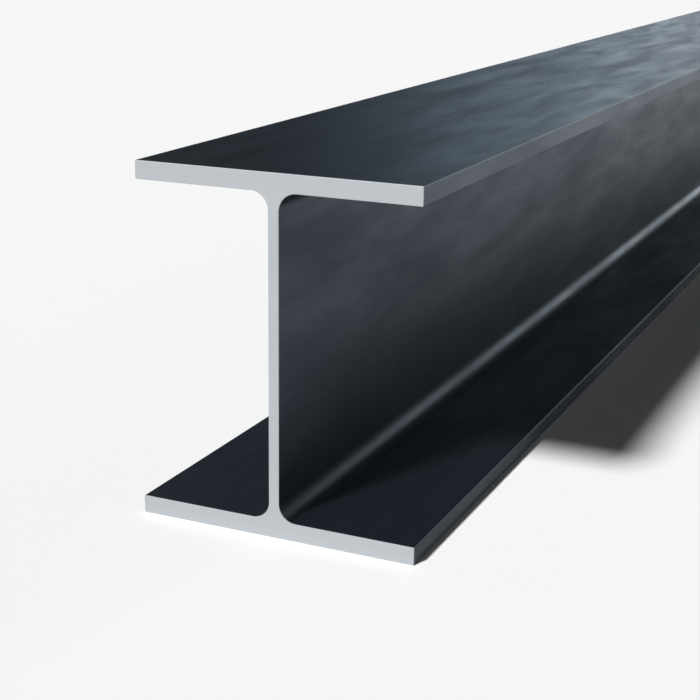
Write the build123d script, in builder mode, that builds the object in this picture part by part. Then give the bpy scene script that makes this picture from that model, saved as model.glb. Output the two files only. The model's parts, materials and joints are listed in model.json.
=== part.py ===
# Wide-flange steel beam: one hot-rolled bar, sawn square at both ends.
# The origin is the middle of the underside, with X across the flanges, Y along the bar and Z up.
import os

from build123d import *

# Rolled section, in mm
beam_depth = 201.4
flange_width = 165.0
flange_thickness = 10.2
web_thickness = 6.2
root_radius = 10.0
toe_radius = 1.0

# Sawn bar, in mm
beam_length = 3048.0
saw_chamfer = 0.5

with BuildPart() as i_beam:
    # Section: a web through the full depth, with a flange centred on it at the foot and at the head
    with BuildSketch(Plane.XZ) as section:
        with Locations((0, beam_depth / 2)):
            Rectangle(web_thickness, beam_depth)
        with Locations((0, flange_thickness / 2), (0, beam_depth - flange_thickness / 2)):
            Rectangle(flange_width, flange_thickness)

        # From left to right the corners stand in four columns: toes, roots, roots, toes
        left_toes, left_roots, right_roots, right_toes = section.vertices().group_by(Axis.X)
        fillet(left_roots + right_roots, radius=root_radius)
        fillet(left_toes + right_toes, radius=toe_radius)

    # The bar runs as far in front of the origin as behind it
    extrude(amount=beam_length / 2, both=True)

    # Both sawn ends are deburred all the way round
    sawn_ends = i_beam.faces().filter_by(Axis.Y)
    chamfer(sawn_ends.edges(), length=saw_chamfer)

i_beam.part.label = "i_beam"

os.makedirs("parts", exist_ok=True)
export_step(i_beam.part, "parts/i_beam.step")
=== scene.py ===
import bmesh
import bpy
import json
import math
from mathutils import Matrix, Vector


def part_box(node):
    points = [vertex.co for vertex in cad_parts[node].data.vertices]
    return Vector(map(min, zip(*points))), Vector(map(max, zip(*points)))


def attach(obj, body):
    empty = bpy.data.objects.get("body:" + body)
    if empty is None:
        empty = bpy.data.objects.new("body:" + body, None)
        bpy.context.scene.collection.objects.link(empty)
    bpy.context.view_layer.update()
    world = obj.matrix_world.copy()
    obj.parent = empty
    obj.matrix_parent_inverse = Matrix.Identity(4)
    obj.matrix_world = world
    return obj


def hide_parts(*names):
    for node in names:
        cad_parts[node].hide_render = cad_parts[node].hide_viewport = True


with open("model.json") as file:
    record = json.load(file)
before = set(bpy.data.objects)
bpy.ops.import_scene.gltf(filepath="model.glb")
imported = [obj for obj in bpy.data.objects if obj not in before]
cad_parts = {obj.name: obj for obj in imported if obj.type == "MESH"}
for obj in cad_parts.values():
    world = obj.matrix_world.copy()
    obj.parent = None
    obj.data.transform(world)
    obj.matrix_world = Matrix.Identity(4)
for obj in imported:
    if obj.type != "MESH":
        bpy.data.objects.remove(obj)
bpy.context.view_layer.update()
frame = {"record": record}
mountPlace = {m["name"]: Vector(m["pos_m"]) for m in frame["record"]["mounts"]}
beamLow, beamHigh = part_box("i_beam")
beamSize = beamHigh - beamLow
print("frame loaded, beam", [round(s, 4) for s in beamSize])


# picking in edit mode

def pickFaces(wanted):
    mesh = bmesh.from_edit_mesh(bpy.context.object.data)
    bpy.ops.mesh.select_mode(type="FACE")
    bpy.ops.mesh.select_all(action="DESELECT")
    for face in mesh.faces:
        face.select_set(wanted(face.normal, face.calc_center_median()))
    bmesh.update_edit_mesh(bpy.context.object.data)


def pickEdges(wanted):
    mesh = bmesh.from_edit_mesh(bpy.context.object.data)
    bpy.ops.mesh.select_mode(type="EDGE")
    bpy.ops.mesh.select_all(action="DESELECT")
    for edge in mesh.edges:
        edge.select_set(wanted(edge.verts[0].co, edge.verts[1].co))
    bmesh.update_edit_mesh(bpy.context.object.data)


def near(a, b, slack=1e-5):
    return abs(a - b) < slack


# node helpers: values or sockets go in, a node or its output comes back

nodeGap = 200                                   # nodes stand in a row, in the order they are added
mixSockets = {                                  # factor, A, B and result
    "RGBA": (0, 6, 7, 2),
    "FLOAT": (0, 2, 3, 0),
}


def feed(tree, socket, value):
    if isinstance(value, bpy.types.NodeSocket):
        tree.links.new(value, socket)
    else:
        socket.default_value = value


def addNode(tree, kind, **values):
    node = tree.nodes.new("ShaderNode" + kind)
    node.location = (len(tree.nodes) * nodeGap, 0)
    for name, value in values.items():
        if hasattr(node, name):
            setattr(node, name, value)
        else:
            feed(tree, node.inputs[name], value)
    return node


def maths(tree, operation, *values):
    node = addNode(tree, "Math", operation=operation)
    for socket, value in zip(node.inputs, values):
        feed(tree, socket, value)
    return node.outputs[0]


def between(tree, share, ends):
    node = addNode(tree, "MapRange", Value=share)
    node.inputs["To Min"].default_value, node.inputs["To Max"].default_value = ends
    return node.outputs["Result"]


def fade(tree, value, span, ends=(0, 1)):
    node = addNode(tree, "MapRange", Value=value, interpolation_type="SMOOTHSTEP")
    node.inputs["From Min"].default_value, node.inputs["From Max"].default_value = span
    node.inputs["To Min"].default_value, node.inputs["To Max"].default_value = ends
    return node.outputs["Result"]


def blend(tree, mask, start, end, kind="FLOAT"):
    node = addNode(tree, "Mix", data_type=kind)
    factor, a, b, result = mixSockets[kind]
    feed(tree, node.inputs[factor], mask)
    feed(tree, node.inputs[a], start)
    feed(tree, node.inputs[b], end)
    return node.outputs[result]


def wire(tree, *pairs):
    for start, end in pairs:
        tree.links.new(start, end)


def newMaterial(name):
    material = bpy.data.materials.new(name)
    material.use_nodes = True
    return material, material.node_tree, material.node_tree.nodes["Principled BSDF"]


# shared effect: rolled clouds and grain

cloudLook = {
    "cloud": {"Detail": 5.0, "Roughness": 0.55, "Distortion": 0.4},
    "cloudSpan": (0.25, 0.75),                  # spread out to the full range
    "grain": {"Detail": 2.0, "Roughness": 0.6},
}


def makeCloudGroup():
    group = bpy.data.node_groups.new("steelClouds", "ShaderNodeTree")
    sockets = group.interface
    sockets.new_socket("Vector", in_out="INPUT", socket_type="NodeSocketVector")
    for name in ("Cloud Scale", "Grain Scale"):
        sockets.new_socket(name, in_out="INPUT", socket_type="NodeSocketFloat")
    for name in ("Cloud", "Grain"):
        sockets.new_socket(name, in_out="OUTPUT", socket_type="NodeSocketFloat")
    start = group.nodes.new("NodeGroupInput")
    end = group.nodes.new("NodeGroupOutput")
    cloud = addNode(group, "TexNoise", **cloudLook["cloud"])
    grain = addNode(group, "TexNoise", **cloudLook["grain"])
    wire(group,
         (start.outputs["Vector"], cloud.inputs["Vector"]),
         (start.outputs["Vector"], grain.inputs["Vector"]),
         (start.outputs["Cloud Scale"], cloud.inputs["Scale"]),
         (start.outputs["Grain Scale"], grain.inputs["Scale"]),
         (fade(group, cloud.outputs["Fac"], cloudLook["cloudSpan"]), end.inputs["Cloud"]),
         (grain.outputs["Fac"], end.inputs["Grain"]))
    return group


def placeClouds(tree, place, look):
    drawn = addNode(tree, "Mapping", Vector=place, Scale=[1 / s for s in look["stretch"]])
    clouds = addNode(tree, "Group", node_tree=cloudGroup, Vector=drawn.outputs["Vector"])
    clouds.inputs["Cloud Scale"].default_value = look["cloudScale"]
    clouds.inputs["Grain Scale"].default_value = look["grainScale"]
    return clouds.outputs["Cloud"], clouds.outputs["Grain"]


cloudGroup = makeCloudGroup()
print("shared clouds ready")


# mill scale on the rolled faces, with painted shade and painted sheen

scaleFinish = {
    "dark": (0.0274, 0.0367, 0.0477, 1),        # blue-grey oxide in thin clouds
    "light": (0.0334, 0.0449, 0.0583, 1),
    "rough": (0.49, 0.37),                      # dark clouds, light clouds
    "stretch": (1, 5, 1),                       # clouds drawn out along the bar
    "cloudScale": 40.0,
    "grainScale": 900.0,
    "grainDepth": 0.000006,
    "metal": 0.97,
    "shine": 0.15,
    "edgeTint": (0.82, 0.87, 0.905, 1),         # blue cast of the glancing shine
    "film": (0.04, 0.23),                       # burnished film, strongest in the light clouds
    "filmRough": 0.38,
    "filmIor": 1.3,
    "root": (0.0145, 0.0195, 0.0253, 1),        # lower roots, dull with no film, darker: painted shade in the creases to dim their shine
    "rootFilm": 0,
    "rootSlant": (0.05, 0.35),
    "side": (0.054, 0.0640, 0.0755, 1),         # flange edges, paler: painted sheen that brightens their reflection
    "paintedEdgeSheenLight": (0.088, 0.1040, 0.1225, 1),
    "sideRough": (0.46, 0.75),                  # upper flange, lower flange
    "sideTilt": (0.90, 0.985),
    "toeRough": (0.40, 0.50),                   # rounded toes: upper flange, lower flange
    "toeBand": (0.0008, 0.0004),                # in from the tip of the flange
    "ledge": (0.0170, 0.0228, 0.0316, 1),       # lower flange top, darker: painted shade under the upper flange
    "ledgeLight": (0.0206, 0.0274, 0.0376, 1),
    "ledgeRough": (0.77, 0.70),
    "ledgeTilt": (0.93, 0.99),
    "ledgeHeight": (0.020, 0.030),              # all below the first, none above the second
}


def makeMillScale():
    look = scaleFinish
    material, tree, shader = newMaterial("millScale")
    shader.inputs["Metallic"].default_value = look["metal"]
    shader.inputs["Specular IOR Level"].default_value = look["shine"]
    shader.inputs["Specular Tint"].default_value = look["edgeTint"]
    shader.inputs["Coat Roughness"].default_value = look["filmRough"]
    shader.inputs["Coat IOR"].default_value = look["filmIor"]
    coords = addNode(tree, "TexCoord")
    cloud, grain = placeClouds(tree, coords.outputs["Object"], look)

    # masks, by place and by the way a face looks
    place = addNode(tree, "SeparateXYZ", Vector=coords.outputs["Object"])
    surface = addNode(tree, "NewGeometry")
    tilt = addNode(tree, "SeparateXYZ", Vector=surface.outputs["Normal"])
    sideways = maths(tree, "ABSOLUTE", tilt.outputs["X"])
    low = fade(tree, place.outputs["Z"], look["ledgeHeight"], (1, 0))
    toeSpan = [beamHigh.x - inset for inset in look["toeBand"]]
    toe = fade(tree, maths(tree, "ABSOLUTE", place.outputs["X"]), toeSpan)
    side = maths(tree, "MULTIPLY", fade(tree, sideways, look["sideTilt"]), toe)
    root = fade(tree, maths(tree, "MULTIPLY", sideways, tilt.outputs["Z"]), look["rootSlant"])
    ledge = maths(tree, "MULTIPLY", fade(tree, tilt.outputs["Z"], look["ledgeTilt"]), low)

    # colours, roughness and film, laid one over the other
    colour = blend(tree, cloud, look["dark"], look["light"], "RGBA")
    # painted shade: the lower root creases darkened to dim their shine
    colour = blend(tree, root, colour, look["root"], "RGBA")
    # painted sheen: the flange edges and toes made paler to brighten their reflection
    paintedEdgeSheen = blend(tree, cloud, look["side"], look["paintedEdgeSheenLight"], "RGBA")
    colour = blend(tree, toe, colour, paintedEdgeSheen, "RGBA")
    # painted shade: the lower flange's top made darker
    paintedLedgeShade = blend(tree, cloud, look["ledge"], look["ledgeLight"], "RGBA")
    colour = blend(tree, ledge, colour, paintedLedgeShade, "RGBA")
    rough = between(tree, cloud, look["rough"])
    rough = blend(tree, toe, rough, between(tree, low, look["toeRough"]))
    rough = blend(tree, side, rough, between(tree, low, look["sideRough"]))
    rough = blend(tree, ledge, rough, between(tree, cloud, look["ledgeRough"]))
    film = blend(tree, root, between(tree, cloud, look["film"]), look["rootFilm"])
    bump = addNode(tree, "Bump", Height=grain, Distance=look["grainDepth"])
    wire(tree,
         (colour, shader.inputs["Base Color"]),
         (rough, shader.inputs["Roughness"]),
         (film, shader.inputs["Coat Weight"]),
         (bump.outputs["Normal"], shader.inputs["Normal"]))
    return material


# bright sawn steel on the ends

sawnFinish = {
    "dark": (0.358, 0.381, 0.403, 1),
    "light": (0.382, 0.405, 0.427, 1),
    "rough": (0.55, 0.62),
    "stretch": (40, 1, 1),                      # saw lines run across the flanges
    "cloudScale": 30.0,
    "grainScale": 1200.0,
    "lineDepth": 0.00002,
    "metal": 0.35,
}


def makeSawnSteel():
    look = sawnFinish
    material, tree, shader = newMaterial("sawnSteel")
    shader.inputs["Metallic"].default_value = look["metal"]
    coords = addNode(tree, "TexCoord")
    cloud, grain = placeClouds(tree, coords.outputs["Object"], look)
    bump = addNode(tree, "Bump", Height=grain, Distance=look["lineDepth"])
    wire(tree,
         (blend(tree, cloud, look["dark"], look["light"], "RGBA"), shader.inputs["Base Color"]),
         (between(tree, grain, look["rough"]), shader.inputs["Roughness"]),
         (bump.outputs["Normal"], shader.inputs["Normal"]))
    return material


# the beam, drawn out of its web

beam = {
    "webThickness": 2 * mountPlace["web_right"].x,
    "flangeThickness": mountPlace["lower_flange_inside_right"].z,
    "rootRadius": 0.010,
    "rootSegments": 16,
    "toeRadius": 0.0006,                        # crisp
    "toeSegments": 6,
    "sawChamfer": 0.0005,
    "sawSegments": 2,
    "sideFacing": 0.9,                          # faces that look this squarely sideways
    "sawnFacing": 0.1,                          # faces that lean this much to an end are sawn
    "flatAngle": 1,
    "smoothAngle": 30,
}


def isSawn(normal):
    return abs(normal.y) > beam["sawnFacing"]


def makeBeam():
    width, length, depth = beamSize
    halfWeb = beam["webThickness"] / 2
    lowerInside = beamLow.z + beam["flangeThickness"]
    upperInside = beamHigh.z - beam["flangeThickness"]
    middle = (beamLow + beamHigh) / 2
    bpy.ops.object.select_all(action="DESELECT")
    bpy.ops.mesh.primitive_cube_add(size=1, location=middle, scale=(beam["webThickness"], length, depth))
    piece = bpy.context.object
    piece.name = piece.data.name = "rolledBeam"
    bpy.ops.object.transform_apply(location=True, rotation=True, scale=True)
    bpy.ops.object.mode_set(mode="EDIT")
    for inside in (lowerInside, upperInside):   # mark where the flanges leave the web
        bpy.ops.mesh.select_all(action="SELECT")
        bpy.ops.mesh.bisect(plane_co=(0, 0, inside), plane_no=(0, 0, 1))
    reach = width / 2 - halfWeb
    for side in (-1, 1):                        # pull both flanges out on each side
        pickFaces(lambda normal, place: normal.x * side > beam["sideFacing"]
                  and not lowerInside < place.z < upperInside)
        bpy.ops.mesh.extrude_region_move(TRANSFORM_OT_translate={"value": (side * reach, 0, 0)})
    bpy.ops.mesh.select_all(action="SELECT")
    bpy.ops.mesh.dissolve_limited(angle_limit=math.radians(beam["flatAngle"]))
    for out, edge in ((halfWeb, "root"), (width / 2, "toe")):       # round the long edges
        pickEdges(lambda a, b: near(abs(a.x), out) and near(abs(b.x), out)
                  and near(a.z, b.z) and not near(a.y, b.y))
        bpy.ops.mesh.bevel(offset=beam[edge + "Radius"], segments=beam[edge + "Segments"], affect="EDGES")
    pickEdges(lambda a, b: near(a.y, b.y) and near(abs(a.y), length / 2))
    bpy.ops.mesh.bevel(offset=beam["sawChamfer"], segments=beam["sawSegments"], affect="EDGES")
    piece.data.materials.append(makeMillScale())
    piece.data.materials.append(makeSawnSteel())
    pickFaces(lambda normal, place: isSawn(normal))
    piece.active_material_index = 1
    bpy.ops.object.material_slot_assign()
    bpy.ops.object.mode_set(mode="OBJECT")
    bpy.ops.object.shade_smooth_by_angle(angle=math.radians(beam["smoothAngle"]))
    evenShade = piece.modifiers.new("evenShade", "WEIGHTED_NORMAL")
    evenShade.keep_sharp = True
    bpy.ops.object.modifier_apply(modifier=evenShade.name)
    return piece


# flat map: the rolled faces unrolled into one strip, the two ends laid beside it

beamMap = {
    "stripU": (0.010, 0.980),                   # start and share along the bar
    "stripV": (0.010, 0.790),                   # and round the section
    "endU": (0.020, 0.220),                     # near end, far end
    "endV": 0.815,
    "endScale": 0.84,
}


def unrollBeam(piece):
    mesh = piece.data
    layer = mesh.uv_layers.new(name="OFBake")
    places = [v.co for v in mesh.vertices]
    steps = {}
    for face in mesh.polygons:                  # each rolled face's step round the section, at the near end
        if isSawn(face.normal):
            continue
        a, b = [v for v in face.vertices if places[v].y < 0]
        run = places[b] - places[a]
        if run.z * face.normal.x < run.x * face.normal.z:
            a, b = b, a
        steps[a] = (b, run.length, face)
    corner = min(steps, key=lambda v: (round(places[v].z, 5), places[v].x))
    total = sum(length for b, length, face in steps.values())
    done = 0
    for turn in range(len(steps)):
        nextCorner, length, face = steps[corner]
        for loop in face.loop_indices:
            spot = places[mesh.loops[loop].vertex_index]
            fromStart = (spot - places[corner]).xz.length
            fromEnd = (spot - places[nextCorner]).xz.length
            gone = done if fromStart < fromEnd else done + length
            u = beamMap["stripU"][0] + (spot.y - beamLow.y) / beamSize.y * beamMap["stripU"][1]
            v = beamMap["stripV"][0] + gone / total * beamMap["stripV"][1]
            layer.data[loop].uv = (u, v)
        corner = nextCorner
        done += length
    for face in mesh.polygons:
        if not isSawn(face.normal):
            continue
        isNear = face.center.y < 0
        for loop in face.loop_indices:
            spot = places[mesh.loops[loop].vertex_index]
            across = spot.x - beamLow.x if isNear else beamHigh.x - spot.x
            u = beamMap["endU"][0 if isNear else 1] + across * beamMap["endScale"]
            v = beamMap["endV"] + (spot.z - beamLow.z) * beamMap["endScale"]
            layer.data[loop].uv = (u, v)
    print("beam unrolled,", len(steps), "steps round the section, outline", round(total, 4))


rolledBeam = makeBeam()
unrollBeam(rolledBeam)
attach(rolledBeam, "root")
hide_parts("i_beam")
print("beam shaped,", len(rolledBeam.data.polygons), "faces")


# floor

floorLook = {
    "size": 300.0,
    "colour": (0.88, 0.88, 0.88, 1),
    "rough": 0.7,
    "shine": 0.0,
}


def makeFloor():
    bpy.ops.object.select_all(action="DESELECT")
    bpy.ops.mesh.primitive_plane_add(size=floorLook["size"], location=(0, 0, beamLow.z))
    floor = bpy.context.object
    floor.name = "floor"
    material, tree, shader = newMaterial("paleFloor")
    shader.inputs["Base Color"].default_value = floorLook["colour"]
    shader.inputs["Roughness"].default_value = floorLook["rough"]
    shader.inputs["Specular IOR Level"].default_value = floorLook["shine"]
    floor.data.materials.append(material)


makeFloor()


# studio light, angles in degrees

studio = {
    "keyToward": (-0.241, -0.695, 0.678),       # to the lamp: front left, above
    "keyStrength": 4.65,
    "keyAngle": 7.2,
    "glow": 4.80,                               # soft panel of light behind the far end
    "glowSpill": 0.95,                          # share of it that lights the floor
    "glowLeft": (-27.4, 12.8),                  # fades in over these azimuths
    "glowRight": (9.0, 37.0),                   # and out over these
    "glowTop": (16.0, 34.0),                    # and out upwards
    "glowDip": 0.20,                            # share of it left straight behind the bar
    "dipLeft": (-12.0, -4.0),
    "dipRight": (5.0, 14.0),
    "glowEdge": (0.771, 1.0, 1.215, 1),         # bluer where it fades in
    "glowHeart": (1.0, 1.0, 1.0, 1),
    "glowTint": (-26.0, 0.0),
    "around": 0.55,                             # pale walls and ceiling, seen only in the shine
    "aroundAway": (0.259, 0.966, 0.0),          # left out round this direction
    "aroundGap": (0.46, 0.64),
    "dim": 0.004,                               # level all round
    "backdrop": 0.93,                           # what the camera sees past the floor
    "white": (1, 1, 1, 1),
}


def makeLamp():
    toward = Vector(studio["keyToward"]).normalized()
    lamp = bpy.data.lights.new("keyLamp", "SUN")
    lamp.energy = studio["keyStrength"]
    lamp.angle = math.radians(studio["keyAngle"])
    key = bpy.data.objects.new("keyLamp", lamp)
    key.rotation_euler = toward.to_track_quat("Z", "Y").to_euler()
    bpy.context.scene.collection.objects.link(key)


def makeStudio():
    world = bpy.data.worlds.new("studio")
    world.use_nodes = True
    bpy.context.scene.world = world
    tree = world.node_tree
    tree.nodes.clear()

    def fadeIn(angle, span):
        return fade(tree, angle, [math.radians(edge) for edge in span])

    def fadeOut(angle, span):
        return fade(tree, angle, [math.radians(edge) for edge in span], (1, 0))

    coords = addNode(tree, "TexCoord")
    outward = coords.outputs["Generated"]
    split = addNode(tree, "SeparateXYZ", Vector=outward)
    azimuth = maths(tree, "ARCTAN2", split.outputs["X"], split.outputs["Y"])
    elevation = maths(tree, "ARCSINE", split.outputs["Z"])
    path = addNode(tree, "LightPath")
    inShine = path.outputs["Is Glossy Ray"]

    # the panel, a product of its fades
    dip = maths(tree, "MULTIPLY", fadeIn(azimuth, studio["dipLeft"]), fadeOut(azimuth, studio["dipRight"]))
    strength = fadeIn(azimuth, studio["glowLeft"])
    for part in (fadeOut(azimuth, studio["glowRight"]),
                 fadeOut(elevation, studio["glowTop"]),
                 between(tree, dip, (1, studio["glowDip"])),
                 between(tree, inShine, (studio["glowSpill"], 1)),
                 studio["glow"]):
        strength = maths(tree, "MULTIPLY", strength, part)
    whiter = fadeIn(azimuth, studio["glowTint"])
    tint = blend(tree, whiter, studio["glowEdge"], studio["glowHeart"], "RGBA")
    panel = addNode(tree, "Background", Color=tint, Strength=strength)

    # the room round it
    away = addNode(tree, "VectorMath", operation="DOT_PRODUCT")
    feed(tree, away.inputs[0], outward)
    feed(tree, away.inputs[1], studio["aroundAway"])
    walls = fade(tree, away.outputs["Value"], studio["aroundGap"], (studio["around"], 0))
    level = maths(tree, "ADD", maths(tree, "MULTIPLY", walls, inShine), studio["dim"])
    room = addNode(tree, "Background", Color=studio["white"], Strength=level)

    both = addNode(tree, "AddShader")
    plain = addNode(tree, "Background", Color=studio["white"], Strength=studio["backdrop"])
    choose = addNode(tree, "MixShader")
    end = addNode(tree, "OutputWorld")
    wire(tree,
         (panel.outputs[0], both.inputs[0]),
         (room.outputs[0], both.inputs[1]),
         (path.outputs["Is Camera Ray"], choose.inputs[0]),
         (both.outputs[0], choose.inputs[1]),
         (plain.outputs[0], choose.inputs[2]),
         (choose.outputs[0], end.inputs["Surface"]))


makeLamp()
makeStudio()
print("floor and light set")


# camera, placed from the sawn end that shows

cameraView = {
    "fromEnd": (0.3406, -0.6585, 0.3295),
    "yaw": 24.23,
    "pitch": 16.67,
    "roll": 0.744,
    "lens": 75.52,
    "sensor": 36,
    "clip": (0.01, 400),
}


def makeCamera():
    lens = bpy.data.cameras.new("camera")
    lens.sensor_width = cameraView["sensor"]
    lens.lens = cameraView["lens"]
    lens.clip_start, lens.clip_end = cameraView["clip"]
    camera = bpy.data.objects.new("camera", lens)
    bpy.context.scene.collection.objects.link(camera)
    nearEnd = Vector((0, beamLow.y, beamLow.z))
    camera.matrix_world = (Matrix.Translation(nearEnd + Vector(cameraView["fromEnd"]))
                           @ Matrix.Rotation(math.radians(cameraView["yaw"]), 4, "Z")
                           @ Matrix.Rotation(math.radians(90 - cameraView["pitch"]), 4, "X")
                           @ Matrix.Rotation(math.radians(cameraView["roll"]), 4, "Z"))
    bpy.context.scene.camera = camera


makeCamera()
bpy.context.scene.view_settings.view_transform = "Standard"
print("camera set")
